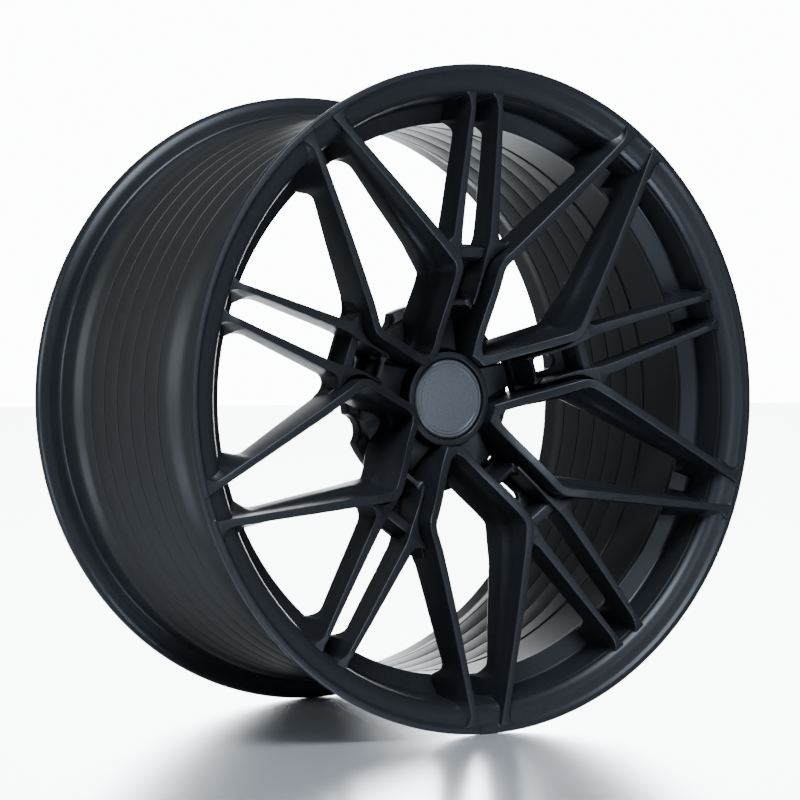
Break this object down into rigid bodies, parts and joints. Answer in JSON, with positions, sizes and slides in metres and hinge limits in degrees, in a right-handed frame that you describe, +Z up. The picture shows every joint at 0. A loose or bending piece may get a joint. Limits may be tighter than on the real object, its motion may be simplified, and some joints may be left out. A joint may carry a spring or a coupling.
{
  "type": "forged wheel rim",
  "caption": "Wide deep-faced forged car wheel rim with split spokes, a drop-centre barrel, a pull-off centre cap and a clamp-in tyre valve.",
  "frame": {"origin": "centre of the wheel, on its axis, halfway between the two outermost planes of the rim", "axes": "Y is the wheel's axis with the face looking along -Y and the mounting side along +Y; Z is up; one pocket of spokes points along +Z"},
  "size_m": [0.544, 0.292, 0.544],
  "materials": {
    "wheel_finish": "satin blue-black coat on forged aluminium",
    "cap_finish": "satin dark grey moulding",
    "spring_steel": "bright drawn wire",
    "valve_alloy": "black anodised",
    "valve_brass": "machined",
    "valve_rubber": "matt"
  },
  "bodies": {
    "root": {"barrel": "wheel_finish", "hub": "wheel_finish", "wide_rib_1": "wheel_finish", "wide_rib_2": "wheel_finish", "wide_rib_3": "wheel_finish", "wide_rib_4": "wheel_finish", "wide_rib_5": "wheel_finish", "wide_rib_6": "wheel_finish", "wide_rib_7": "wheel_finish", "wide_rib_8": "wheel_finish", "wide_rib_9": "wheel_finish", "wide_rib_10": "wheel_finish", "thin_spoke_1": "wheel_finish", "thin_spoke_2": "wheel_finish", "thin_spoke_3": "wheel_finish", "thin_spoke_4": "wheel_finish", "thin_spoke_5": "wheel_finish", "thin_spoke_6": "wheel_finish", "thin_spoke_7": "wheel_finish", "thin_spoke_8": "wheel_finish", "thin_spoke_9": "wheel_finish", "thin_spoke_10": "wheel_finish", "pocket_web_1": "wheel_finish", "pocket_web_2": "wheel_finish", "pocket_web_3": "wheel_finish", "pocket_web_4": "wheel_finish", "pocket_web_5": "wheel_finish", "valve_stem": "valve_alloy", "valve_seal": "valve_rubber", "valve_washer": "valve_alloy", "valve_nut": "valve_alloy", "valve_core": "valve_brass", "valve_spring": "spring_steel"},
    "cap": {"cap_shell": "cap_finish", "cap_plate": "cap_finish", "cap_spring_ring": "spring_steel"},
    "valve_pin_body": {"valve_pin": "valve_brass", "valve_pin_seal": "valve_rubber"},
    "dust_cap_body": {"dust_cap": "valve_alloy", "dust_cap_seal": "valve_rubber"}
  },
  "joints": [
    {"name": "cap_pull", "type": "slide", "parent": "root", "child": "cap", "axis": [0, -1, 0], "range_m": [0, 0.03]},
    {"name": "pin_press", "type": "slide", "parent": "root", "child": "valve_pin_body", "axis": [0.0945, 0.7967, -0.5969], "range_m": [0, 0.0012], "stiffness_N_per_m": 400, "springref_m": -0.0005, "deforming": ["valve_spring"]},
    {"name": "dust_cap_off", "type": "slide", "parent": "root", "child": "dust_cap_body", "axis": [-0.0945, -0.7967, 0.5969], "range_m": [0, 0.014]}
  ]
}
